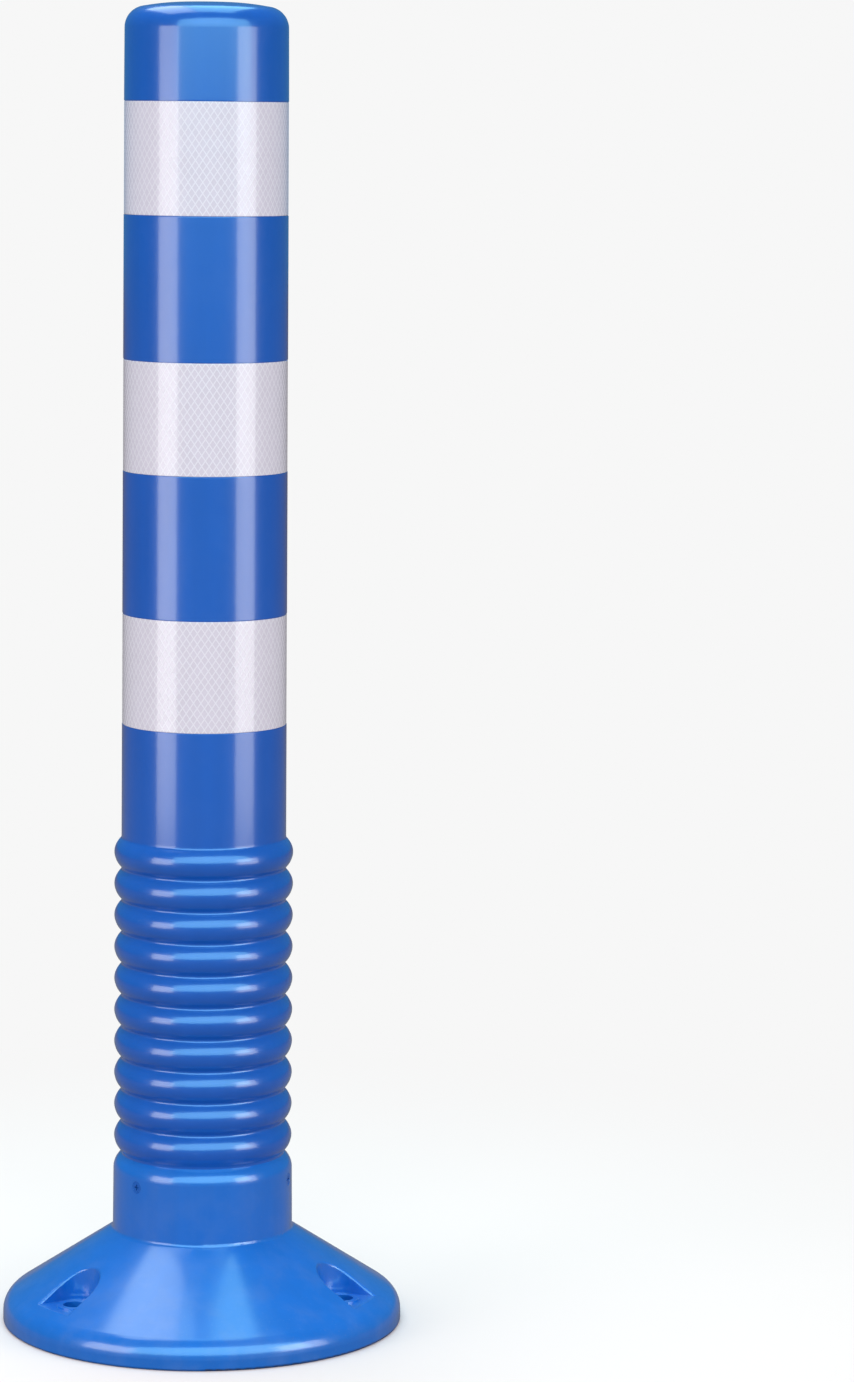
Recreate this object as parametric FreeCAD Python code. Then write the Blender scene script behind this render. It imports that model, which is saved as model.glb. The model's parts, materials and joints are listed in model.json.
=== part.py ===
"""Flexible delineator post: a ribbed, hollow body on a round bolt-down base, with three reflective films.

Millimetres, +Z up. The origin is on the ground at the centre of the base, and -Y is the front.
One STEP file is written for each sub-part.
"""

import FreeCAD
import Part
import math
import os

V = FreeCAD.Vector
Z_AXIS = V(0, 0, 1)

# Driving dimensions
post_height = 650.0
tube_foot_radius = 40.4
tube_top_radius = 39.6
bore_radius = 36.0
bore_top_radius = 35.4
lid_thickness = 5.0

# Ribbed zone, which bends
rib_count = 10
rib_pitch = 15.8
rib_zone_foot = 85.6
crest_radius = 43.9
crest_rounding = 9.2
valley_land = 0.6
valley_rounding = 0.8

# Reflective films, which lie flush in shallow seats
film_tops = (602.6, 478.4, 354.2)
film_height = 54.6
film_thickness = 0.4
film_end_gap = 0.2
film_overlap_degrees = 16.0

# Base
base_radius = 99.0
rim_height = 6.0
rim_rounding = 11.0
base_edge_rounding = 1.5
cone_slope = 33.2
collar_foot = 47.0
collar_foot_radius = 44.6
collar_radius = 44.3
collar_foot_rounding = 2.5
shell_thickness = 6.0
foot_ring_width = 8.5
hub_wall = 5.0

# Spigot of the body, held in the collar
collar_top = rib_zone_foot - 0.7
socket_radius = 40.0
spigot_radius = 39.9
socket_floor = 12.0
ledge_radius = 34.0

# Anchor pockets and holes
anchor_count = 3
anchor_azimuth = -55.3
anchor_circle_radius = 76.0
anchor_hole_radius = 5.5
pocket_floor = 17.5
pocket_half_width = 12.5
pocket_wall = 4.0
pocket_edge_rounding = 1.2
seat_ring_radius = 8.6
seat_ring_height = 0.8
web_thickness = 3.2
web_azimuths = (40.0, 80.0)

# Locking screws
screw_azimuth = -47.0
screw_height = 73.5
screw_radius = 1.5
screw_head_radius = 3.0
screw_head_depth = 1.5
screw_length = 7.6
screw_play = 0.05
recess_length = 3.0
recess_width = 0.7
recess_depth = 0.9

rib_zone_top = rib_zone_foot + rib_count * rib_pitch
cone_drop = math.tan(math.radians(cone_slope))


def rounded_wire(corners):
    """Closed wire through (radius, height, rounding) corners, each rounded by a tangent arc where asked."""
    count = len(corners)
    points = [V(radius, 0, height) for radius, height, _ in corners]
    edges = []
    ends = []
    for i, corner in enumerate(points):
        rounding = corners[i][2]
        before = (points[i - 1] - corner).normalize()
        after = (points[(i + 1) % count] - corner).normalize()
        if rounding == 0:
            ends.append((corner, corner, None))
            continue
        half_angle = before.getAngle(after) / 2
        reach = rounding / math.tan(half_angle)
        inward = (before + after).normalize()
        centre = corner + inward * (rounding / math.sin(half_angle))
        ends.append((corner + before * reach, corner + after * reach, centre - inward * rounding))
    for i, (start, finish, middle) in enumerate(ends):
        if middle is not None:
            edges.append(Part.Arc(start, middle, finish).toShape())
        following = ends[(i + 1) % count][0]
        if finish.distanceToPoint(following) > 1e-6:
            edges.append(Part.LineSegment(finish, following).toShape())
    return Part.Wire(edges)


def turned(corners, degrees=360.0, start=0.0):
    """Solid made by turning an outline about the post's axis."""
    solid = Part.Face(rounded_wire(corners)).revolve(V(0, 0, 0), Z_AXIS, degrees)
    solid.rotate(V(0, 0, 0), Z_AXIS, start)
    return solid


def at_azimuth(shape, azimuth):
    """Copy of a shape built along +X, turned to an azimuth counted from the front towards +X."""
    placed = shape.copy()
    placed.rotate(V(0, 0, 0), Z_AXIS, azimuth - 90.0)
    return placed


def every_third(shape, azimuth):
    """The shape at each of the equally spaced azimuths of the anchors or screws."""
    return [at_azimuth(shape, azimuth + i * 360.0 / anchor_count) for i in range(anchor_count)]


def tube_radius(height):
    """Outer radius of the lightly drafted tube at a height."""
    share = (height - rib_zone_top) / (post_height - rib_zone_top)
    return tube_foot_radius + share * (tube_top_radius - tube_foot_radius)


def cone_height(radius):
    """Height of the base's sloping face at a radius."""
    return collar_foot - (radius - collar_foot_radius) * cone_drop


def film_outline(top, inset, depth, proud=0.0):
    """Cross-section of a film or of its seat: inset is the play at each end, depth is into the tube."""
    low = top - film_height + inset
    high = top - inset
    return [
        (tube_radius(low) - depth, low, 0),
        (tube_radius(low) + proud, low, 0),
        (tube_radius(high) + proud, high, 0),
        (tube_radius(high) - depth, high, 0),
    ]


def make_upper_tube():
    """Smooth tube with a closed, softly crowned top and one shallow seat for each film."""
    crown_radius = 18.0
    crown_drop = 3.5
    inner_top = post_height - lid_thickness
    tube = turned([
        (0, rib_zone_top, 0),
        (tube_foot_radius, rib_zone_top, 0),
        (tube_top_radius, post_height - crown_drop, 10.5),
        (crown_radius, post_height, 120.0),
        (0, post_height, 0),
    ])
    core = turned([
        (0, rib_zone_top - 1, 0),
        (bore_radius, rib_zone_top - 1, 0),
        (bore_top_radius, inner_top - crown_drop, 7.0),
        (crown_radius, inner_top, 110.0),
        (0, inner_top, 0),
    ])
    tube = tube.cut(core)
    for top in film_tops:
        tube = tube.cut(turned(film_outline(top, 0.0, film_thickness, proud=1.0)))
    return tube


def make_film(top):
    """Film strip wrapped once round the tube, with its end lapped over its start at the back."""
    strip = turned(film_outline(top, film_end_gap, film_thickness))
    lap_start = 90.0 - film_overlap_degrees / 2
    low = top - film_height + film_end_gap
    high = top - film_end_gap
    lap = turned([
        (tube_radius(low) - film_thickness / 2, low, 0),
        (tube_radius(low) + film_thickness, low, 0),
        (tube_radius(high) + film_thickness, high, 0),
        (tube_radius(high) - film_thickness / 2, high, 0),
    ], film_overlap_degrees, lap_start)
    return strip.fuse(lap).removeSplitter()


def make_rib(number):
    """One rounded rib of the bending zone, from the valley below it to the valley above."""
    low = rib_zone_foot + (number - 1) * rib_pitch
    high = low + rib_pitch
    valley_radius = tube_foot_radius
    flank_rise = crest_rounding * (math.sqrt(2) - 1)
    apex_radius = crest_radius + flank_rise
    return turned([
        (bore_radius, low, 0),
        (valley_radius, low, 0),
        (valley_radius, low + valley_land, valley_rounding),
        (apex_radius, (low + high) / 2, crest_rounding),
        (valley_radius, high - valley_land, valley_rounding),
        (valley_radius, high, 0),
        (bore_radius, high, 0),
    ])


def screw_hole(play):
    """Countersunk hole through collar and spigot, along +X, at the screws' height."""
    head_face = collar_radius - 0.1
    shank_end = head_face - screw_length - 3.0
    shank = Part.makeCylinder(screw_radius + play, head_face - shank_end,
                              V(shank_end, 0, screw_height), V(1, 0, 0))
    sink = Part.makeCone(screw_radius + play, screw_head_radius + play, screw_head_depth,
                         V(head_face - screw_head_depth, 0, screw_height), V(1, 0, 0))
    mouth = Part.makeCylinder(screw_head_radius + play, 2.0,
                              V(head_face, 0, screw_height), V(1, 0, 0))
    return shank.fuse([sink, mouth])


def make_screw():
    """Countersunk locking screw with a cross recess, along +X."""
    head_face = collar_radius - 0.1
    shank = Part.makeCylinder(screw_radius, screw_length - screw_head_depth,
                              V(head_face - screw_length, 0, screw_height), V(1, 0, 0))
    head = Part.makeCone(screw_radius, screw_head_radius, screw_head_depth,
                         V(head_face - screw_head_depth, 0, screw_height), V(1, 0, 0))
    screw = shank.fuse(head)
    for across, up in ((recess_length, recess_width), (recess_width, recess_length)):
        slot = Part.makeBox(recess_depth, across, up)
        slot.translate(V(head_face - recess_depth, -across / 2, screw_height - up / 2))
        screw = screw.cut(slot)
    return screw


def make_body_spigot():
    """Foot of the flexible body: a plain sleeve that sits in the collar's socket."""
    sleeve = turned([
        (bore_radius, socket_floor, 0),
        (spigot_radius, socket_floor, 1.0),
        (spigot_radius, collar_top, 0),
        (tube_foot_radius, collar_top, 0),
        (tube_foot_radius, rib_zone_foot, 0),
        (bore_radius, rib_zone_foot, 0),
    ])
    return sleeve.cut(every_third(screw_hole(screw_play), screw_azimuth))


def make_pocket():
    """Flat-floored recess round one anchor hole, open outwards, along +X."""
    height = collar_foot
    back = Part.makeCylinder(pocket_half_width, height, V(anchor_circle_radius, 0, pocket_floor))
    mouth = Part.makeBox(base_radius, 2 * pocket_half_width, height)
    mouth.translate(V(anchor_circle_radius, -pocket_half_width, pocket_floor))
    return back.fuse(mouth).removeSplitter()


def make_underside():
    """Hollow under the sloping face, less the walls round the pockets and the radial webs."""
    inner = collar_radius + hub_wall
    outer = base_radius - foot_ring_width
    skin = shell_thickness / math.cos(math.radians(cone_slope))
    hollow = turned([
        (inner, -1, 0),
        (outer, -1, 0),
        (outer, cone_height(outer) - skin, 2.0),
        (inner, cone_height(inner) - skin, 3.0),
    ])
    half_block = pocket_half_width + pocket_wall
    block = Part.makeBox(base_radius, 2 * half_block, collar_foot + 2)
    block.translate(V(0, -half_block, -2))
    web = Part.makeBox(base_radius, web_thickness, collar_foot + 2)
    web.translate(V(0, -web_thickness / 2, -2))
    solid_parts = every_third(block, anchor_azimuth)
    for offset in web_azimuths:
        solid_parts += every_third(web, anchor_azimuth + offset)
    return hollow.cut(solid_parts)


def pocket_rim_edges(shape):
    """Edges where the pockets break through the sloping face."""
    found = []
    for edge in shape.Edges:
        box = edge.BoundBox
        low_radius = min(math.hypot(p.X, p.Y) for p in edge.Vertexes)
        above_floor = box.ZMin > pocket_floor - 0.5 and box.ZMax > pocket_floor + 2
        slopes = box.ZLength > 4 and box.ZMax < collar_foot - 3
        if above_floor and slopes and low_radius > collar_foot_radius + 8:
            found.append(edge)
    return found


def make_base_flange():
    """Bolt-down base: cone, rim, collar with its socket, three anchor pockets and a webbed underside."""
    shoulder_height = collar_top - (collar_radius - tube_foot_radius)
    base = turned([
        (ledge_radius, 0, 0),
        (base_radius, 0, base_edge_rounding),
        (base_radius, cone_height(base_radius), rim_rounding),
        (collar_foot_radius, collar_foot, collar_foot_rounding),
        (collar_radius, shoulder_height, crest_rounding),
        (tube_foot_radius, collar_top, 0),
        (socket_radius, collar_top, 0),
        (socket_radius, socket_floor, 0),
        (ledge_radius, socket_floor, 0),
    ])
    base = base.cut(every_third(make_pocket(), anchor_azimuth))
    base = base.makeFillet(pocket_edge_rounding, pocket_rim_edges(base))
    ring = Part.makeCylinder(seat_ring_radius, seat_ring_height + 1,
                             V(anchor_circle_radius, 0, pocket_floor - 1))
    base = base.fuse(every_third(ring, anchor_azimuth))
    base = base.cut(make_underside())
    hole = Part.makeCylinder(anchor_hole_radius, pocket_floor + 4, V(anchor_circle_radius, 0, -1))
    base = base.cut(every_third(hole, anchor_azimuth))
    base = base.cut(every_third(screw_hole(screw_play), screw_azimuth))
    return base.removeSplitter()


def save(name, shape):
    """Writes one sub-part and says whether its solids are sound."""
    shape.exportStep(f"parts/{name}.step")
    print(f"{name}: {len(shape.Solids)} solid(s), valid {shape.isValid()}, {shape.Volume / 1000:.1f} cm3")


def main():
    os.makedirs("parts", exist_ok=True)
    save("base_flange", make_base_flange())
    save("body_spigot", make_body_spigot())
    save("locking_screws", Part.makeCompound(every_third(make_screw(), screw_azimuth)))
    for number in range(1, rib_count + 1):
        save(f"flex_rib_{number:02d}", make_rib(number))
    save("upper_tube", make_upper_tube())
    for name, top in zip(("upper", "middle", "lower"), film_tops):
        save(f"{name}_reflective_film", make_film(top))


main()
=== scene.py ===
"""Flexible delineator post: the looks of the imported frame, as an add-on with an operator for each group."""

import bpy
import json
import math
import numpy as np

from bpy.props import FloatProperty, FloatVectorProperty, IntProperty, PointerProperty
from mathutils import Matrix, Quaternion, Vector


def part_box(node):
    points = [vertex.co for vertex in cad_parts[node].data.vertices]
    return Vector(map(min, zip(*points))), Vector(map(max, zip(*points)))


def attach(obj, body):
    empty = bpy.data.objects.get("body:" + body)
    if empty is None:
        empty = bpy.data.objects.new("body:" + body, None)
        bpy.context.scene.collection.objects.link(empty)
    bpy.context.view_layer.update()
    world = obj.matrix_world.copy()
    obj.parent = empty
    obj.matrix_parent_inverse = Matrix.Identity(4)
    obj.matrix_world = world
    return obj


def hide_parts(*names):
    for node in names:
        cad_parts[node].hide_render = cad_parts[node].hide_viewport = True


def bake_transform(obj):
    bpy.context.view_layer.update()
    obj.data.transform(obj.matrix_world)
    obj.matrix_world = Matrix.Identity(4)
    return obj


bl_info = {
    "name": "Delineator post",
    "version": (1, 0, 0),
    "blender": (4, 5, 0),
    "location": "View3D > Sidebar > Delineator",
    "description": "Builds the ribbed body, the reflective films and the base of a flexible delineator post",
    "category": "Add Mesh",
}

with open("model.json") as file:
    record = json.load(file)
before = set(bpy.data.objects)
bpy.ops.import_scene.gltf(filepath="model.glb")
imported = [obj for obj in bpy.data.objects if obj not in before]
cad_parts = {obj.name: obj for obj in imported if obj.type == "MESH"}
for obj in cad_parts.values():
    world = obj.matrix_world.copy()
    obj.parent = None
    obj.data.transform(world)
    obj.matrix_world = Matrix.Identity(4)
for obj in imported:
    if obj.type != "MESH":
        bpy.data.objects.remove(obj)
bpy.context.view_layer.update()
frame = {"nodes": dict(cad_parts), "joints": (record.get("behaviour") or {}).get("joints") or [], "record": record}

# Places read from the frame, in metres
BODIES = list(frame["record"]["behaviour"]["bodies"])
TOP_BODY = BODIES[-1]
VALLEYS = sorted(joint["pos_m"][2] for joint in frame["joints"])
RIB_PITCH = VALLEYS[1] - VALLEYS[0]
# Valleys listed for a blend from the upper body down. The bend is the same either way, but from the lower body up
# the point they turn about isn't found exactly when the post leans both ways at once. The bellows step bakes these
# sleeves in place like all the others.
TURNED_FROM_ABOVE = (6, 10)
POST_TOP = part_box("upper_tube")[1][2]
TUBE_FOOT_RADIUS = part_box("body_spigot")[1][0]
CREST_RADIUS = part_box("flex_rib_01")[1][0]
COLLAR_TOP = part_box("base_flange")[1][2]
FILM_NODES = ("lower_reflective_film", "middle_reflective_film", "upper_reflective_film")

# Sizes of the tube and its closed top that the frame's boxes don't tell, in metres
TUBE_TOP_RADIUS = 0.0396
BORE_RADIUS = 0.036
BORE_TOP_RADIUS = 0.0354
LID_THICKNESS = 0.005
CROWN_RADIUS = 0.018
CROWN_DROP = 0.0035
CROWN_ROUNDING = 0.12
SHOULDER_ROUNDING = 0.0105
INNER_CROWN_ROUNDING = 0.11
INNER_SHOULDER_ROUNDING = 0.007
PARTING_LINE_END = 0.014
ARC_STEP = 0.0007
INNER_ARC_STEP = 0.0015

# Ribs
CREST_ROUNDING = 0.0092
FLANK_ANGLE = math.pi / 4
VALLEY_LAND = 0.0003
LEAST_ROWS = 8

# Films and their seats. The lap's angles are counted in film thicknesses from its two edges.
FILM_THICKNESS = 0.0004
FILM_END_GAP = 0.0002
FILM_ROUNDING = 0.00014
FILM_ARC_STEP = 0.0001
FILM_SEAT_CLEARANCE = 0.00001
SEAT_ROUNDING = 0.00012
LAP_HALF_ANGLE = math.radians(8.0)
LAP_STARTS = (-0.5, 0.0, 0.3)
LAP_ENDS = (-3.0, -2.0, -1.0, 0.0)
LAP_END_TAPER = 3.0

# Finishes: heights and depths of the relief and places in metres, tints as colour and opacity
FINE_GRAIN = 0.000006
PEBBLE_GRAIN = 0.000010
WAVE_HEIGHT = 0.00006
SCRATCH_DEPTH = 0.00002
WEAR_BAND = 0.0012
RIM_WEAR_RADIUS = 0.094
DUST_REACH = 0.12
DUST = (0.42, 0.43, 0.45, 1.0)
MOULDED_ROUGHNESS = 0.28
PRISM_SCALE = 2600.0
FILM_LINE_HEIGHT = 0.00003
FILM_WAVE_HEIGHT = 0.00012
FILM_LINE = (0.84, 0.83, 0.90, 1.0)
FILM_SCUFF = (0.55, 0.56, 0.62, 1.0)
FILM_DUST = (0.45, 0.45, 0.46, 1.0)
FILM_DUST_REACH = 0.5
FILM_ROUGHNESS = 0.20
SCREW_COAT_DEEP = (0.006, 0.10, 0.44, 1.0)
SCREW_COAT_LIGHT = (0.012, 0.13, 0.54, 1.0)
SCREW_ROUGHNESS = 0.26
BARE_STEEL = (0.45, 0.46, 0.48, 1.0)

# Where each point lay when its piece was moulded, stored on the mesh
PLACE = "moulded_place"

# Studio: azimuths in degrees from the front towards the right, sizes and places in metres
FLOOR_RADIUS = 14
FLOOR_FADE = (0.11, 0.65)
STRIPS = (("strip_left", -54, 1.0), ("strip_right", 58, 0.95))
STRIP_DISTANCE = 1.25
STRIP_HEIGHT = 0.38
STRIP_SIZE = (0.66, 0.66)
BAND_AZIMUTH = 11
BAND_DISTANCE = 4.0
BAND_HEIGHT = 2.8
BAND_SIZE = (10.6, 4.2)
FILL_DISTANCE = 3.2
FILL_HEIGHT = 2.2
FILL_AIM_HEIGHT = 0.3
FILL_SIZE = (3.0, 2.0)
OVERHEAD_BEHIND = 0.65
OVERHEAD_HEIGHT = 1.9
OVERHEAD_SIZE = (0.70, 1.7)
WHITE_LIGHT = (1.0, 1.0, 1.0)
PALE_LIGHT = (0.72, 0.93, 1.0)
COOL_LIGHT = (0.36, 0.86, 1.0)
OVERHEADS = (("overhead_left", -0.565, PALE_LIGHT), ("overhead_right", 0.16, COOL_LIGHT))
MIRRORED_SURROUND = (0.06, 0.19, 0.34, 1.0)
CAMERA_AIM = (0.1094, 0, 0.3159)


def tube_radius(height):
    """Outer radius of the lightly drafted tube."""
    share = (height - VALLEYS[-1]) / (POST_TOP - VALLEYS[-1])
    return TUBE_FOOT_RADIUS + share * (TUBE_TOP_RADIUS - TUBE_FOOT_RADIUS)


# ---------------------------------------------------------------- sizes and colours


class BodyLook(bpy.types.PropertyGroup):
    """Finish of the blue mouldings."""
    body_colour: FloatVectorProperty(
        name="Body colour", description="Blue of the flexible body", subtype="COLOR",
        size=3, min=0, max=1, default=(0.001, 0.096, 0.49))
    # Painted light: the base's blue is set lighter than the body's to stand in for the overhead light on its
    # upward-facing cone.
    base_blue_with_painted_light: FloatVectorProperty(
        name="Base colour", description="Blue of the bolt-down base", subtype="COLOR",
        size=3, min=0, max=1, default=(0.001, 0.142, 0.60))
    around: IntProperty(
        name="Steps around", description="Faces around the body", min=48, max=512, default=208)
    row_height: FloatProperty(
        name="Row height", description="Height of one row of faces on the ribs", unit="LENGTH",
        min=0.0002, max=0.004, default=0.0005, precision=5)
    flash_height: FloatProperty(
        name="Parting line height", description="How far the mould's parting line stands proud",
        unit="LENGTH", min=0, max=0.001, default=0.00014, precision=5)
    flash_width: FloatProperty(
        name="Parting line width", description="Half-width of the mould's parting line",
        unit="LENGTH", min=0.0001, max=0.002, default=0.0005, precision=5)


class FilmLook(bpy.types.PropertyGroup):
    """Prismatic reflective film."""
    colour: FloatVectorProperty(
        name="Film colour", description="White of the reflective film", subtype="COLOR",
        size=3, min=0, max=1, default=(0.73, 0.69, 0.80))
    cell_width: FloatProperty(
        name="Cell width", description="Width of one diamond of the film's lattice", unit="LENGTH",
        min=0.001, max=0.02, default=0.0035, precision=4)
    cell_height: FloatProperty(
        name="Cell height", description="Height of one diamond of the film's lattice", unit="LENGTH",
        min=0.001, max=0.02, default=0.0052, precision=4)
    line_width: FloatProperty(
        name="Line width", description="Width of the sealed lines between diamonds", unit="LENGTH",
        min=0.0001, max=0.002, default=0.0005, precision=5)


class StageLook(bpy.types.PropertyGroup):
    """Floor, lights and camera."""
    floor_colour: FloatVectorProperty(
        name="Floor colour", description="Pale floor", subtype="COLOR",
        size=3, min=0, max=1, default=(0.90, 0.80, 0.77))
    backdrop: FloatProperty(
        name="Backdrop", description="Brightness of the plain surround behind the post",
        min=0, max=2, default=0.93)
    surround: FloatProperty(
        name="Surround light", description="Soft light that reaches the post from all sides",
        min=0, max=2, default=0.64)
    camera_distance: FloatProperty(
        name="Camera distance", description="Distance in front of the post", unit="LENGTH",
        min=0.5, max=10, default=2.1762)
    camera_height: FloatProperty(
        name="Camera height", description="Height above the floor", unit="LENGTH",
        min=0, max=5, default=0.5957)
    camera_roll: FloatProperty(
        name="Camera roll", description="Turn of the camera about its own view", subtype="ANGLE",
        min=-0.2, max=0.2, default=0.0101)
    lens: FloatProperty(
        name="Lens", description="Focal length for a 36 mm long side", unit="CAMERA",
        min=20, max=300, default=116.26)
    strip_light: FloatProperty(
        name="Strip lights", description="Brightness of the tall strip lights", min=0, max=50, default=3.9)
    front_light: FloatProperty(
        name="Front band", description="Brightness of the wide band of light that the ribs mirror",
        min=0, max=50, default=4.0)
    fill_light: FloatProperty(
        name="Front fill", description="Brightness of the soft fill light above the camera",
        min=0, max=50, default=2.2)
    overhead_light: FloatProperty(
        name="Overhead lights", description="Brightness of the panels above the post",
        min=0, max=50, default=3.2)


# ---------------------------------------------------------------- shader helpers


class Tree:
    """Small helper that adds and links nodes in one node tree."""

    def __init__(self, tree):
        self.tree = tree

    def node(self, kind, settings=None, **inputs):
        made = self.tree.nodes.new(kind)
        for key, value in (settings or {}).items():
            setattr(made, key, value)
        for key, value in inputs.items():
            self.feed(made.inputs[key.replace("_", " ")], value)
        return made

    def feed(self, socket, value):
        if isinstance(value, bpy.types.NodeSocket):
            self.tree.links.new(value, socket)
        else:
            socket.default_value = value

    def math(self, operation, first, second=0.0, third=0.0, clamp=False):
        made = self.tree.nodes.new("ShaderNodeMath")
        made.operation = operation
        made.use_clamp = clamp
        for socket, value in zip(made.inputs, (first, second, third)):
            self.feed(socket, value)
        return made.outputs[0]

    def mix(self, factor, first, second, blend="MIX"):
        made = self.tree.nodes.new("ShaderNodeMix")
        made.data_type = "RGBA"
        made.blend_type = blend
        made.clamp_factor = True
        for name, value in (("Factor_Float", factor), ("A_Color", first), ("B_Color", second)):
            socket = next(s for s in made.inputs if s.identifier == name)
            self.feed(socket, value)
        return next(s for s in made.outputs if s.identifier == "Result_Color")

    def ramp(self, value, low, high, to_low=0.0, to_high=1.0, smooth=True):
        made = self.node("ShaderNodeMapRange", {
            "clamp": True, "interpolation_type": "SMOOTHSTEP" if smooth else "LINEAR"})
        for name, number in (("Value", value), ("From Min", low), ("From Max", high),
                             ("To Min", to_low), ("To Max", to_high)):
            self.feed(made.inputs[name], number)
        return made.outputs["Result"]

    def noise(self, vector, scale, detail=3.0, roughness=0.5):
        made = self.node("ShaderNodeTexNoise", {"noise_dimensions": "3D"}, Vector=vector)
        made.inputs["Scale"].default_value = scale
        made.inputs["Detail"].default_value = detail
        made.inputs["Roughness"].default_value = roughness
        return made.outputs["Fac"]

    def stretched(self, vector, scale):
        made = self.node("ShaderNodeMapping", {"vector_type": "POINT"}, Vector=vector)
        made.inputs["Scale"].default_value = scale
        return made.outputs["Vector"]


def shader_group(name, inputs, outputs):
    """New shader node group with named sockets. Returns the group, its helper, its inputs and its outputs."""
    group = bpy.data.node_groups.new(name, "ShaderNodeTree")
    for label, kind, default in inputs:
        socket = group.interface.new_socket(name=label, in_out="INPUT", socket_type=kind)
        if default is not None:
            socket.default_value = default
    for label, kind in outputs:
        group.interface.new_socket(name=label, in_out="OUTPUT", socket_type=kind)
    entry = group.nodes.new("NodeGroupInput")
    leave = group.nodes.new("NodeGroupOutput")
    return group, Tree(group), entry.outputs, leave.inputs


def mould_skin_group():
    """Fine grain, slow waves and upright flow streaks of a cast polyurethane surface."""
    group, tree, given, out = shader_group(
        "Mould Skin",
        [("Place", "NodeSocketVector", None), ("Grain", "NodeSocketFloat", 1.0),
         ("Waves", "NodeSocketFloat", 1.0)],
        [("Shade", "NodeSocketFloat"), ("Gloss Loss", "NodeSocketFloat"), ("Height", "NodeSocketFloat")])
    place = given["Place"]
    fine = tree.noise(place, 1400.0, 2.0)
    pebble = tree.noise(place, 420.0, 2.0)
    slow = tree.noise(place, 34.0, 1.0)
    streaks = tree.noise(tree.stretched(place, (1.0, 1.0, 0.06)), 120.0, 3.0)
    cloud = tree.noise(place, 18.0, 3.0)
    grain = tree.math("ADD", tree.math("MULTIPLY", fine, FINE_GRAIN),
                      tree.math("MULTIPLY", pebble, PEBBLE_GRAIN))
    waves = tree.math("MULTIPLY", slow, WAVE_HEIGHT)
    height = tree.math("ADD", tree.math("MULTIPLY", grain, given["Grain"]),
                       tree.math("MULTIPLY", waves, given["Waves"]))
    shade = tree.math("ADD", tree.ramp(streaks, 0.3, 0.7, 0.0, 0.5), tree.ramp(cloud, 0.3, 0.7, 0.0, 0.5))
    tree.feed(out["Shade"], shade)
    tree.feed(out["Gloss Loss"], tree.ramp(pebble, 0.35, 0.75, 0.0, 0.06))
    tree.feed(out["Height"], height)
    return group


def rub_marks_group():
    """Light scuffs and hair scratches left by stacking and handling."""
    group, tree, given, out = shader_group(
        "Rub Marks",
        [("Place", "NodeSocketVector", None), ("Where", "NodeSocketFloat", 1.0)],
        [("Mask", "NodeSocketFloat"), ("Height", "NodeSocketFloat")])
    place = given["Place"]
    patches = tree.ramp(tree.noise(place, 46.0, 4.0, 0.65), 0.56, 0.72)
    hatch = tree.noise(tree.stretched(place, (0.35, 0.35, 2.6)), 520.0, 3.0, 0.7)
    hairs = tree.ramp(hatch, 0.60, 0.68)
    mask = tree.math("MULTIPLY", tree.math("MULTIPLY", patches, hairs), given["Where"], clamp=True)
    tree.feed(out["Mask"], mask)
    tree.feed(out["Height"], tree.math("MULTIPLY", mask, -SCRATCH_DEPTH))
    return group


def road_dust_group():
    """Thin pale dust that gathers near the ground and in specks."""
    group, tree, given, out = shader_group(
        "Road Dust",
        [("Place", "NodeSocketVector", None), ("Reach", "NodeSocketFloat", 0.12),
         ("Amount", "NodeSocketFloat", 0.2)],
        [("Mask", "NodeSocketFloat")])
    place = given["Place"]
    split = tree.node("ShaderNodeSeparateXYZ", Vector=place)
    low = tree.ramp(tree.math("DIVIDE", split.outputs["Z"], given["Reach"]), 0.0, 1.0, 1.0, 0.12)
    patches = tree.ramp(tree.noise(place, 60.0, 5.0, 0.6), 0.42, 0.72)
    specks = tree.ramp(tree.noise(place, 900.0, 1.0), 0.66, 0.74, 0.0, 0.8)
    mask = tree.math("MULTIPLY", tree.math("MAXIMUM", patches, specks), low)
    tree.feed(out["Mask"], tree.math("MULTIPLY", mask, given["Amount"], clamp=True))
    return group


def placed_group(tree, group, **inputs):
    """Places a shared group in a material. Returns its outputs."""
    made = tree.tree.nodes.new("ShaderNodeGroup")
    made.node_tree = group
    for key, value in inputs.items():
        tree.feed(made.inputs[key], value)
    return made.outputs


def new_material(name):
    """Empty node material with its Principled shader. Returns the material, its helper and the shader."""
    material = bpy.data.materials.new(name)
    material.use_nodes = True
    material.node_tree.nodes.clear()
    tree = Tree(material.node_tree)
    shader = tree.node("ShaderNodeBsdfPrincipled")
    output = tree.node("ShaderNodeOutputMaterial")
    tree.feed(output.inputs["Surface"], shader.outputs["BSDF"])
    return material, tree, shader


def raise_surface(tree, shader, height):
    """Bump whose height is in metres."""
    bump = tree.node("ShaderNodeBump", Strength=1.0, Distance=1.0, Height=height)
    tree.feed(shader.inputs["Normal"], bump.outputs["Normal"])


def place_in(tree, source):
    """Where a surface point lay when it was moulded: a stored attribute, or the piece's own coordinates."""
    if source == "attribute":
        return tree.node("ShaderNodeAttribute", {"attribute_name": PLACE}).outputs["Vector"]
    return tree.node("ShaderNodeTexCoord").outputs["Object"]


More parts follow.
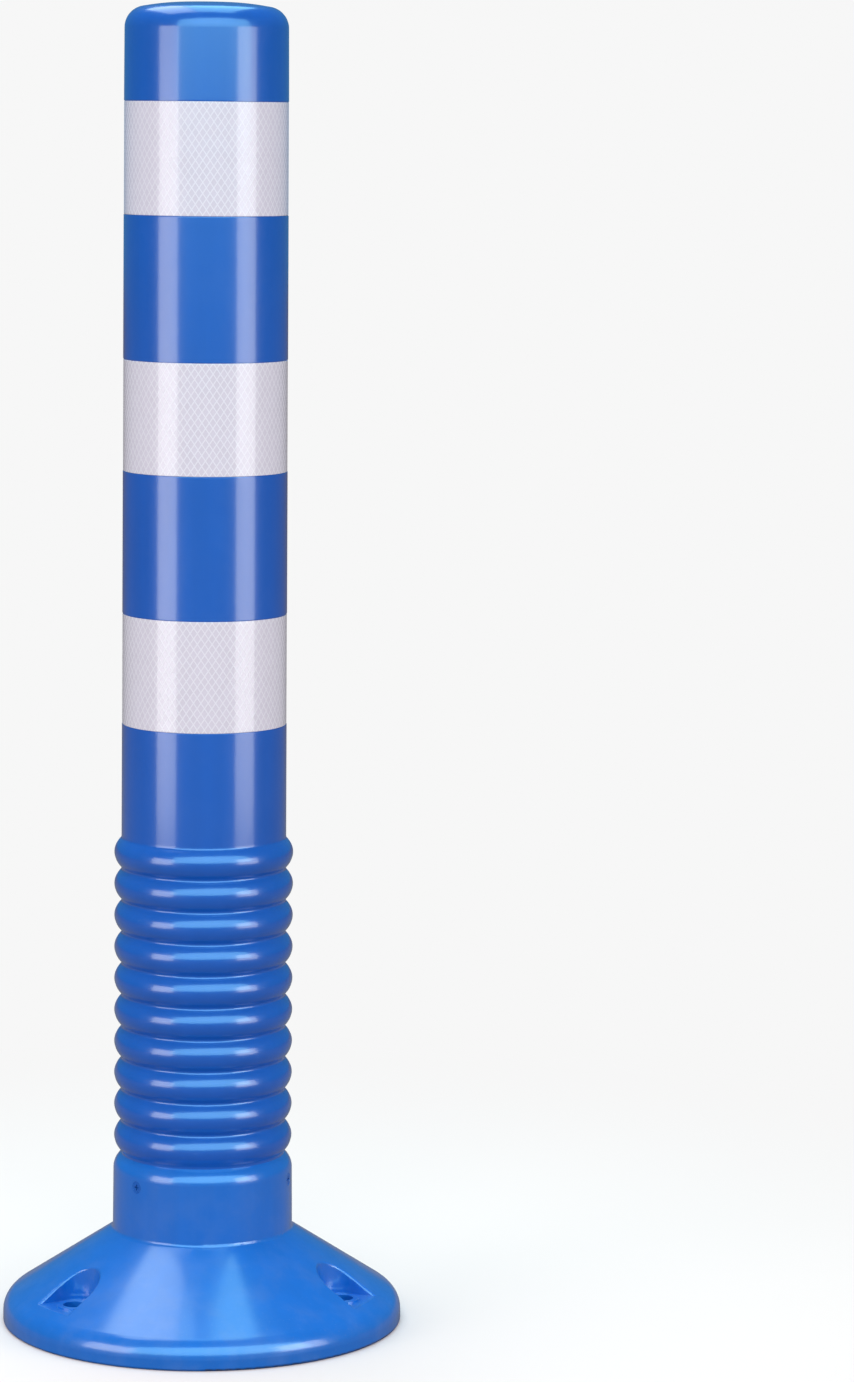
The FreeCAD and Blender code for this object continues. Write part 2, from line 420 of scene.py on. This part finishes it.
def polyurethane(name, groups, colour, source, dust, wear_from):
    """Glossy cast polyurethane. Wear shows where the surface stands further out than wear_from."""
    skin, marks, dirt = groups
    material, tree, shader = new_material(name)
    place = place_in(tree, source)
    split = tree.node("ShaderNodeSeparateXYZ", Vector=place)
    radius = tree.math("SQRT", tree.math("ADD", tree.math("POWER", split.outputs["X"], 2.0),
                                         tree.math("POWER", split.outputs["Y"], 2.0)))
    proud = tree.ramp(radius, wear_from, wear_from + WEAR_BAND)
    where = tree.math("ADD", tree.math("MULTIPLY", proud, 0.5), 0.10)
    surface = placed_group(tree, skin, Place=place, Grain=1.0, Waves=1.0)
    rubbed = placed_group(tree, marks, Place=place, Where=where)
    dusty = placed_group(tree, dirt, Place=place, Reach=DUST_REACH, Amount=dust)
    deep = tuple(channel * 0.95 for channel in colour) + (1.0,)
    light = tuple(min(1.0, channel * 1.04 + 0.001) for channel in colour) + (1.0,)
    worn = (colour[0] + 0.07, colour[1] + 0.10, colour[2] + 0.10, 1.0)
    blue = tree.mix(surface["Shade"], deep, light)
    blue = tree.mix(rubbed["Mask"], blue, worn)
    blue = tree.mix(dusty["Mask"], blue, DUST)
    clean = tree.math("ADD", surface["Gloss Loss"], MOULDED_ROUGHNESS)
    dulled = tree.math("ADD", tree.math("MULTIPLY", rubbed["Mask"], 0.25),
                       tree.math("MULTIPLY", dusty["Mask"], 0.35))
    tree.feed(shader.inputs["Base Color"], blue)
    tree.feed(shader.inputs["Roughness"], tree.math("ADD", clean, dulled, clamp=True))
    raise_surface(tree, shader, tree.math("ADD", surface["Height"], rubbed["Height"]))
    shader.inputs["IOR"].default_value = 1.47
    shader.inputs["Coat Weight"].default_value = 1.0
    shader.inputs["Coat Roughness"].default_value = 0.14
    return material


def reflective_film(name, groups, look):
    """White film whose sealed lattice of diamonds holds tiny corner prisms under a clear glossy face, with painted
    sparkle in its cells and painted shade on its prism facets.
    """
    marks, dirt = groups
    material, tree, shader = new_material(name)
    place = place_in(tree, "attribute")
    split = tree.node("ShaderNodeSeparateXYZ", Vector=place)
    x, y, z = (split.outputs[axis] for axis in "XYZ")
    turn = tree.math("ARCTAN2", x, tree.math("MULTIPLY", y, -1.0))
    across = tree.math("DIVIDE", tree.math("MULTIPLY", turn, TUBE_TOP_RADIUS), look.cell_width)
    along = tree.math("DIVIDE", z, look.cell_height)
    rising = tree.math("ADD", across, along)
    falling = tree.math("SUBTRACT", across, along)
    slope = 0.5 * look.line_width / look.cell_width * math.sqrt(1 + (look.cell_width / look.cell_height) ** 2)

    def distance_to_line(value):
        return tree.math("ABSOLUTE", tree.math("SUBTRACT", tree.math("FRACT", value), 0.5))

    nearest = tree.math("MAXIMUM", distance_to_line(rising), distance_to_line(falling))
    line = tree.ramp(nearest, 0.5 - 1.6 * slope, 0.5 - 0.4 * slope)
    cell = tree.node("ShaderNodeCombineXYZ")
    tree.feed(cell.inputs["X"], tree.math("FLOOR", rising))
    tree.feed(cell.inputs["Y"], tree.math("FLOOR", falling))
    # Painted sparkle: each diamond cell gets its own fixed brightness, as if its prisms caught the light.
    painted_cell_sparkle = tree.node("ShaderNodeTexWhiteNoise", {"noise_dimensions": "3D"}, Vector=cell.outputs["Vector"])
    # Painted shade on the prism facets: darker away from each facet's centre.
    facets = tree.node("ShaderNodeTexVoronoi", {"feature": "F1", "distance": "CHEBYCHEV"}, Vector=place)
    facets.inputs["Scale"].default_value = PRISM_SCALE
    painted_facet_shade = tree.ramp(facets.outputs["Distance"], 0.1, 0.6)
    rubbed = placed_group(tree, marks, Place=place, Where=0.35)
    dusty = placed_group(tree, dirt, Place=place, Reach=FILM_DUST_REACH, Amount=0.05)

    white = tuple(look.colour) + (1.0,)
    inner = tuple(channel * 0.90 for channel in look.colour) + (1.0,)
    shadow = tuple(channel * 0.80 for channel in look.colour) + (1.0,)
    face = tree.mix(tree.math("MULTIPLY", painted_cell_sparkle.outputs["Value"], 0.4), white, inner)
    face = tree.mix(tree.math("MULTIPLY", painted_facet_shade, 0.18), face, shadow)
    face = tree.mix(tree.math("MULTIPLY", line, 0.55), face, FILM_LINE)
    face = tree.mix(rubbed["Mask"], face, FILM_SCUFF)
    face = tree.mix(dusty["Mask"], face, FILM_DUST)
    rough = tree.math("ADD", tree.math("ADD", FILM_ROUGHNESS, tree.math("MULTIPLY", line, 0.12)),
                      tree.math("MULTIPLY", rubbed["Mask"], 0.3), clamp=True)
    height = tree.math("ADD", tree.math("MULTIPLY", line, FILM_LINE_HEIGHT),
                       tree.math("MULTIPLY", tree.noise(place, 60.0, 1.0), FILM_WAVE_HEIGHT))
    tree.feed(shader.inputs["Base Color"], face)
    tree.feed(shader.inputs["Roughness"], rough)
    raise_surface(tree, shader, tree.math("ADD", height, rubbed["Height"]))
    shader.inputs["Coat Weight"].default_value = 0.5
    shader.inputs["Coat Roughness"].default_value = 0.08
    return material


def coated_screw(name, groups):
    """Blue-coated steel with bare metal showing in scratches."""
    skin, marks = groups
    material, tree, shader = new_material(name)
    place = place_in(tree, "object")
    surface = placed_group(tree, skin, Place=place, Grain=2.0, Waves=0.0)
    rubbed = placed_group(tree, marks, Place=place, Where=1.0)
    blue = tree.mix(surface["Shade"], SCREW_COAT_DEEP, SCREW_COAT_LIGHT)
    coat = tree.mix(rubbed["Mask"], blue, BARE_STEEL)
    tree.feed(shader.inputs["Base Color"], coat)
    tree.feed(shader.inputs["Metallic"], tree.math("MULTIPLY", rubbed["Mask"], 0.9))
    tree.feed(shader.inputs["Roughness"], tree.math("ADD", surface["Gloss Loss"], SCREW_ROUGHNESS))
    raise_surface(tree, shader, tree.math("ADD", surface["Height"], rubbed["Height"]))
    return material


def finishes():
    """The materials, made once and found again by name."""
    if "Body polyurethane" not in bpy.data.materials:
        body = bpy.context.scene.delineator_body
        film = bpy.context.scene.delineator_film
        skin = mould_skin_group()
        marks = rub_marks_group()
        dirt = road_dust_group()
        groups = (skin, marks, dirt)
        polyurethane("Body polyurethane", groups, body.body_colour, "attribute",
                     dust=0.05, wear_from=CREST_RADIUS - WEAR_BAND)
        polyurethane("Spigot polyurethane", groups, body.body_colour, "object",
                     dust=0.05, wear_from=CREST_RADIUS)
        # The base takes the lighter blue, whose extra lightness is painted overhead light.
        polyurethane("Base polyurethane", groups, body.base_blue_with_painted_light, "object",
                     dust=0.06, wear_from=RIM_WEAR_RADIUS)
        reflective_film("Prismatic film", (marks, dirt), film)
        coated_screw("Coated steel", (skin, marks))
    return bpy.data.materials


# ---------------------------------------------------------------- mesh helpers


def rounded_outline(corners, fineness):
    """Points (radius, height) through (radius, height, rounding) corners, with arcs in short steps."""
    count = len(corners)
    found = []
    for i, (radius, height, rounding) in enumerate(corners):
        corner = Vector((radius, height))
        if rounding == 0 or i in (0, count - 1):
            found.append(corner)
            continue
        before = (Vector(corners[i - 1][:2]) - corner).normalized()
        after = (Vector(corners[i + 1][:2]) - corner).normalized()
        half = before.angle(after) / 2
        reach = rounding / math.tan(half)
        centre = corner + (before + after).normalized() * (rounding / math.sin(half))
        start = corner + before * reach - centre
        sweep = start.angle_signed(corner + after * reach - centre)
        steps = max(3, math.ceil(abs(sweep) * rounding / fineness))
        for step in range(steps + 1):
            angle = -sweep * step / steps
            turned = Vector((start.x * math.cos(angle) - start.y * math.sin(angle),
                             start.x * math.sin(angle) + start.y * math.cos(angle)))
            found.append(centre + turned)
    return found


def held_outline(points, length=0.004, margin=0.0004):
    """Outline with more points just inside the ends of long straight runs, which keep their shading even."""
    found = [points[0]]
    for before, after in zip(points, points[1:]):
        run = after - before
        if run.length > length:
            step = run.normalized() * margin
            found += [before + step, after - step]
        found.append(after)
    return found


def even_angles(count, extra=()):
    """Angles once around, in radians, with further ones where detail is needed."""
    angles = {round(2 * math.pi * i / count, 9) for i in range(count)}
    angles |= {round(angle % (2 * math.pi), 9) for angle in extra}
    return sorted(angles)


def flash_angles(width, radius):
    """Closely spaced angles across the two parting lines, which lie at the left and right sides."""
    offsets = [width / radius * step for step in (-2.2, -1.4, -0.8, -0.4, 0.0, 0.4, 0.8, 1.4, 2.2)]
    return [side + offset for side in (0.0, math.pi) for offset in offsets]


def flash_rise(angle, width, height, radius):
    """How far a parting line lifts the surface at an angle."""
    off_side = abs(math.sin(angle)) * radius
    return height * math.exp(-(off_side / width) ** 2)


def turned_mesh(name, outline, angles, radius_at=None, closed=True):
    """Mesh turned about the post's axis. radius_at(radius, height, index, angle) may push a point out."""
    verts = []
    rings = []
    for index, (radius, height) in enumerate(outline):
        if radius < 1e-7:
            rings.append([len(verts)] * len(angles))
            verts.append((0.0, 0.0, height))
            continue
        rings.append(list(range(len(verts), len(verts) + len(angles))))
        for angle in angles:
            out = radius if radius_at is None else radius_at(radius, height, index, angle)
            verts.append((out * math.cos(angle), out * math.sin(angle), height))
    faces = []
    count = len(angles)
    last = len(outline) if closed else len(outline) - 1
    for i in range(last):
        low, high = rings[i], rings[(i + 1) % len(outline)]
        for j in range(count):
            k = (j + 1) % count
            ring = [low[j], low[k], high[k], high[j]]
            face = [v for n, v in enumerate(ring) if v != ring[n - 1]]
            if len(face) > 2:
                faces.append(face)
    mesh = bpy.data.meshes.new(name)
    mesh.from_pydata(verts, [], faces)
    mesh.validate()
    mesh.polygons.foreach_set("use_smooth", [True] * len(mesh.polygons))
    mesh.set_sharp_from_angle(angle=math.radians(34))
    place = mesh.attributes.new(PLACE, "FLOAT_VECTOR", "POINT")
    place.data.foreach_set("vector", np.array([v.co for v in mesh.vertices], np.float32).ravel())
    mesh.update()
    return mesh


def placed_piece(name, mesh, material):
    """Object with the mesh and its one material, in the scene."""
    piece = bpy.data.objects.new(name, mesh)
    bpy.context.scene.collection.objects.link(piece)
    mesh.materials.append(material)
    return piece


# ---------------------------------------------------------------- pieces


class DELINEATOR_OT_bellows(bpy.types.Operator):
    """Makes the bending zone as sleeves that each cross one valley, from rib crest to rib crest"""
    bl_idname = "delineator.bellows"
    bl_label = "Ribbed bending zone"

    def execute(self, context):
        look = context.scene.delineator_body
        material = finishes()["Body polyurethane"]
        angles = even_angles(look.around, flash_angles(look.flash_width, CREST_RADIUS))
        for number, valley in enumerate(VALLEYS):
            low = COLLAR_TOP if number == 0 else valley - RIB_PITCH / 2
            high = valley + RIB_PITCH / 2
            mesh = self.sleeve(f"valley_sleeve_{number + 1:02d}", low, high, number, angles, look)
            piece = placed_piece(mesh.name, mesh, material)
            if number + 1 in TURNED_FROM_ABOVE:
                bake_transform(piece)
            else:
                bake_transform(piece)
            if valley != VALLEYS[-1]:
                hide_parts(f"flex_rib_{number + 1:02d}")
        return {"FINISHED"}

    def sleeve(self, name, low, high, number, angles, look):
        """Closed sleeve whose outside follows the ribs. Level normals at its ends let sleeves meet unseen."""
        rows = max(LEAST_ROWS, round((high - low) / look.row_height))
        heights = [low + (high - low) * i / rows for i in range(rows + 1)]
        outside = [(self.outer_radius(z, VALLEYS[number]), z) for z in heights]
        inside = [(BORE_RADIUS, z) for z in (high, (low + high) / 2, low)]

        def radius_at(radius, height, index, angle):
            if index > rows:
                return radius
            return radius + flash_rise(angle, look.flash_width, look.flash_height, radius)

        mesh = turned_mesh(name, outside + inside, angles, radius_at)
        level = np.zeros((len(mesh.loops), 3), np.float32)
        within_wall = (BORE_RADIUS + TUBE_FOOT_RADIUS) / 2
        for polygon in mesh.polygons:
            if any(math.hypot(*mesh.vertices[v].co[:2]) < within_wall for v in polygon.vertices):
                continue
            for loop in polygon.loop_indices:
                x, y, z = mesh.vertices[mesh.loops[loop].vertex_index].co
                if min(abs(z - low), abs(z - high)) < 1e-6:
                    length = math.hypot(x, y)
                    level[loop] = (x / length, y / length, 0.0)
        mesh.normals_split_custom_set(level.tolist())
        return mesh

    def outer_radius(self, height, valley):
        """Radius of the ribbed surface: round crests, short straight flanks and a narrow rounded valley."""
        if height < VALLEYS[0]:
            return TUBE_FOOT_RADIUS
        if height > VALLEYS[-1]:
            return min(TUBE_FOOT_RADIUS, tube_radius(height))
        to_crest = RIB_PITCH / 2 - abs(height - valley)
        centre = CREST_RADIUS - CREST_ROUNDING
        flank_start = CREST_ROUNDING * math.sin(FLANK_ANGLE)
        if to_crest <= flank_start:
            return centre + math.sqrt(CREST_ROUNDING ** 2 - to_crest ** 2)
        flank = CREST_RADIUS - CREST_ROUNDING * (1 - math.cos(FLANK_ANGLE)) - (to_crest - flank_start)
        lift = flank - TUBE_FOOT_RADIUS
        return TUBE_FOOT_RADIUS + 0.5 * (lift + math.sqrt(lift ** 2 + VALLEY_LAND ** 2))


class DELINEATOR_OT_tube(bpy.types.Operator):
    """Makes the smooth upper tube with its rounded closed top and its film seats"""
    bl_idname = "delineator.tube"
    bl_label = "Upper tube"

    def execute(self, context):
        look = context.scene.delineator_body
        foot = VALLEYS[-1] + RIB_PITCH / 2
        angles = even_angles(look.around, flash_angles(look.flash_width, TUBE_TOP_RADIUS))
        outline = [(tube_radius(foot), foot, 0)]
        for node in FILM_NODES:
            low, high = (corner[2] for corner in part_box(node))
            low -= FILM_END_GAP
            high += FILM_END_GAP
            outline += [
                (tube_radius(low), low, SEAT_ROUNDING),
                (tube_radius(low) - FILM_THICKNESS, low, 0),
                (tube_radius(high) - FILM_THICKNESS, high, 0),
                (tube_radius(high), high, SEAT_ROUNDING),
            ]
        inner_top = POST_TOP - LID_THICKNESS
        outline += [
            (TUBE_TOP_RADIUS, POST_TOP - CROWN_DROP, SHOULDER_ROUNDING),
            (CROWN_RADIUS, POST_TOP, CROWN_ROUNDING),
            (0, POST_TOP, 0),
        ]
        core = [
            (0, inner_top, 0),
            (CROWN_RADIUS, inner_top, INNER_CROWN_ROUNDING),
            (BORE_TOP_RADIUS, inner_top - CROWN_DROP, INNER_SHOULDER_ROUNDING),
            (BORE_RADIUS, foot, 0),
        ]
        outside = held_outline(rounded_outline(outline, ARC_STEP))
        inside = rounded_outline(core, INNER_ARC_STEP)

        def radius_at(radius, height, index, angle):
            if index >= len(outside) or height > POST_TOP - PARTING_LINE_END:
                return radius
            return radius + flash_rise(angle, look.flash_width, look.flash_height, radius)

        mesh = turned_mesh("smooth_tube", outside + inside, angles, radius_at)
        piece = placed_piece("smooth_tube", mesh, finishes()["Body polyurethane"])
        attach(piece, TOP_BODY)
        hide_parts("upper_tube")
        return {"FINISHED"}


class DELINEATOR_OT_films(bpy.types.Operator):
    """Makes the wrapped reflective films, each lapped over its own start at the back"""
    bl_idname = "delineator.films"
    bl_label = "Reflective films"

    def execute(self, context):
        look = context.scene.delineator_body
        back = math.pi / 2
        step = FILM_THICKNESS / TUBE_TOP_RADIUS
        extra = [back - LAP_HALF_ANGLE + step * offset for offset in LAP_STARTS]
        extra += [back + LAP_HALF_ANGLE + step * offset for offset in LAP_ENDS]
        angles = even_angles(look.around, extra)
        for node in FILM_NODES:
            low, high = (corner[2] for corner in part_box(node))
            outline = held_outline(rounded_outline([
                (tube_radius(low) - FILM_THICKNESS, low, 0),
                (tube_radius(low), low, FILM_ROUNDING),
                (tube_radius(high), high, FILM_ROUNDING),
                (tube_radius(high) - FILM_THICKNESS, high, 0),
            ], FILM_ARC_STEP))
            last = len(outline) - 1

            def radius_at(radius, height, index, angle):
                if index in (0, last):
                    return radius + FILM_SEAT_CLEARANCE
                start = (angle - (back - LAP_HALF_ANGLE)) / step
                finish = ((back + LAP_HALF_ANGLE) - angle) / (LAP_END_TAPER * step)
                return radius + FILM_THICKNESS * min(1.0, max(0.0, min(start, finish)))

            mesh = turned_mesh(node.replace("reflective", "prismatic"), outline, angles, radius_at)
            piece = placed_piece(mesh.name, mesh, finishes()["Prismatic film"])
            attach(piece, TOP_BODY)
            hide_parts(node)
        return {"FINISHED"}


class DELINEATOR_OT_base(bpy.types.Operator):
    """Gives the base, the spigot and the screws their finish"""
    bl_idname = "delineator.base"
    bl_label = "Base and fixings"

    def execute(self, context):
        found = finishes()
        for node, name in (("base_flange", "Base polyurethane"),
                           ("body_spigot", "Spigot polyurethane"),
                           ("locking_screws", "Coated steel")):
            thing = frame["nodes"][node]
            for slot in thing.material_slots:
                slot.material = found[name]
        return {"FINISHED"}


# ---------------------------------------------------------------- stage


def area_light(name, place, towards, size, brightness, colour):
    """Soft rectangular light of an even brightness, turned towards a point."""
    data = bpy.data.lights.new(name, "AREA")
    data.shape = "RECTANGLE"
    data.size, data.size_y = size
    data.energy = brightness * size[0] * size[1] * math.pi
    data.color = colour
    light = bpy.data.objects.new(name, data)
    bpy.context.scene.collection.objects.link(light)
    light.location = place
    light.rotation_mode = "QUATERNION"
    light.rotation_quaternion = (Vector(towards) - Vector(place)).to_track_quat("-Z", "Y")
    return light


def around_post(azimuth, distance, height):
    """Place at an azimuth counted from the front towards the right."""
    angle = math.radians(azimuth)
    return (distance * math.sin(angle), -distance * math.cos(angle), height)


class DELINEATOR_OT_stage(bpy.types.Operator):
    """Makes the pale floor, the plain surround, the studio lights and the camera"""
    bl_idname = "delineator.stage"
    bl_label = "Stage"

    def execute(self, context):
        look = context.scene.delineator_stage
        self.make_floor(look)
        self.make_lights(look)
        self.make_world(look)
        self.make_camera(look)
        context.scene.view_settings.view_transform = "Standard"
        return {"FINISHED"}

    def make_floor(self, look):
        """Round floor that fades into the plain surround, and shows dark to the post's own reflections."""
        outline = [(0, 0), (1, 0), (FLOOR_RADIUS, 0)]
        mesh = turned_mesh("floor", outline, even_angles(96), closed=False)
        material, tree, shader = new_material("Pale floor")
        place = tree.node("ShaderNodeTexCoord").outputs["Object"]
        mottle = tree.noise(place, 5.0, 4.0)
        pale = tuple(look.floor_colour) + (1.0,)
        soft = tuple(channel * 0.98 for channel in look.floor_colour) + (1.0,)
        # Painted shade: rays other than the camera's see the floor at this dark copy of its colour, so it lights
        # the post less and looks darker in its gloss.
        dark = tuple(channel * 0.22 for channel in look.floor_colour) + (1.0,)
        from_post = tree.node("ShaderNodeVectorMath", {"operation": "LENGTH"})
        tree.feed(from_post.inputs[0], place)
        far = tree.ramp(from_post.outputs["Value"], *FLOOR_FADE)
        path = tree.node("ShaderNodeLightPath").outputs
        seen_far = tree.math("MULTIPLY", far, path["Is Camera Ray"])
        ground = tree.mix(path["Is Camera Ray"], dark, tree.mix(mottle, soft, pale))
        tree.feed(shader.inputs["Base Color"], tree.mix(seen_far, ground, (0, 0, 0, 1)))
        tree.feed(shader.inputs["Emission Strength"], tree.math("MULTIPLY", seen_far, look.backdrop))
        shader.inputs["Emission Color"].default_value = (1, 1, 1, 1)
        shader.inputs["Roughness"].default_value = 0.7
        shader.inputs["Specular IOR Level"].default_value = 0.0
        placed_piece("floor", mesh, material)

    def make_lights(self, look):
        """Two side strips, a wide band that only the gloss mirrors, a fill, and two panels overhead."""
        for name, azimuth, share in STRIPS:
            place = around_post(azimuth, STRIP_DISTANCE, STRIP_HEIGHT)
            area_light(name, place, (0, 0, STRIP_HEIGHT), STRIP_SIZE, look.strip_light * share, WHITE_LIGHT)
        place = around_post(BAND_AZIMUTH, BAND_DISTANCE, BAND_HEIGHT)
        band = area_light("front_band", place, (0, 0, BAND_HEIGHT), BAND_SIZE, look.front_light, COOL_LIGHT)
        band.visible_diffuse = False
        place = around_post(0, FILL_DISTANCE, FILL_HEIGHT)
        aim = (0, 0, FILL_AIM_HEIGHT)
        fill = area_light("front_fill", place, aim, FILL_SIZE, look.fill_light, WHITE_LIGHT)
        fill.visible_glossy = False
        for name, x, colour in OVERHEADS:
            place = (x, OVERHEAD_BEHIND, OVERHEAD_HEIGHT)
            area_light(name, place, (x, OVERHEAD_BEHIND, 0), OVERHEAD_SIZE, look.overhead_light, colour)

    def make_world(self, look):
        """Plain surround: bright where it's seen, soft as light, and dim in reflections."""
        world = bpy.data.worlds.new("Studio")
        bpy.context.scene.world = world
        world.use_nodes = True
        tree = Tree(world.node_tree)
        path = tree.node("ShaderNodeLightPath").outputs
        even = (look.surround,) * 3 + (1.0,)
        seen = (look.backdrop,) * 3 + (1.0,)
        around = tree.mix(path["Is Glossy Ray"], even, MIRRORED_SURROUND)
        back = world.node_tree.nodes["Background"]
        tree.feed(back.inputs["Color"], tree.mix(path["Is Camera Ray"], around, seen))

    def make_camera(self, look):
        """Camera in front of the post, a little below its top, with the post left of the middle."""
        data = bpy.data.cameras.new("camera")
        data.sensor_width = 36.0
        data.lens = look.lens
        camera = bpy.data.objects.new("camera", data)
        bpy.context.scene.collection.objects.link(camera)
        camera.location = (0, -look.camera_distance, look.camera_height)
        aim = (Vector(CAMERA_AIM) - camera.location).to_track_quat("-Z", "Y")
        camera.rotation_mode = "QUATERNION"
        camera.rotation_quaternion = aim @ Quaternion((0, 0, 1), look.camera_roll)
        bpy.context.scene.camera = camera


class DELINEATOR_PT_panel(bpy.types.Panel):
    """Sidebar panel with the steps in order"""
    bl_idname = "DELINEATOR_PT_panel"
    bl_label = "Delineator post"
    bl_space_type = "VIEW_3D"
    bl_region_type = "UI"
    bl_category = "Delineator"

    def draw(self, context):
        for step in STEPS:
            self.layout.operator(step)
        scene = context.scene
        for group in (scene.delineator_body, scene.delineator_film, scene.delineator_stage):
            box = self.layout.box()
            for key in group.__annotations__:
                box.prop(group, key)


STEPS = ("delineator.stage", "delineator.bellows", "delineator.tube", "delineator.films", "delineator.base")
CLASSES = (
    BodyLook, FilmLook, StageLook,
    DELINEATOR_OT_bellows, DELINEATOR_OT_tube, DELINEATOR_OT_films, DELINEATOR_OT_base, DELINEATOR_OT_stage,
    DELINEATOR_PT_panel,
)


def register():
    for item in CLASSES:
        bpy.utils.register_class(item)
    bpy.types.Scene.delineator_body = PointerProperty(type=BodyLook)
    bpy.types.Scene.delineator_film = PointerProperty(type=FilmLook)
    bpy.types.Scene.delineator_stage = PointerProperty(type=StageLook)


def unregister():
    del bpy.types.Scene.delineator_stage
    del bpy.types.Scene.delineator_film
    del bpy.types.Scene.delineator_body
    for item in reversed(CLASSES):
        bpy.utils.unregister_class(item)


def main():
    register()
    bpy.ops.delineator.stage()
    bpy.ops.delineator.bellows()
    bpy.ops.delineator.tube()
    bpy.ops.delineator.films()
    bpy.ops.delineator.base()


if __name__ == "__main__":
    main()
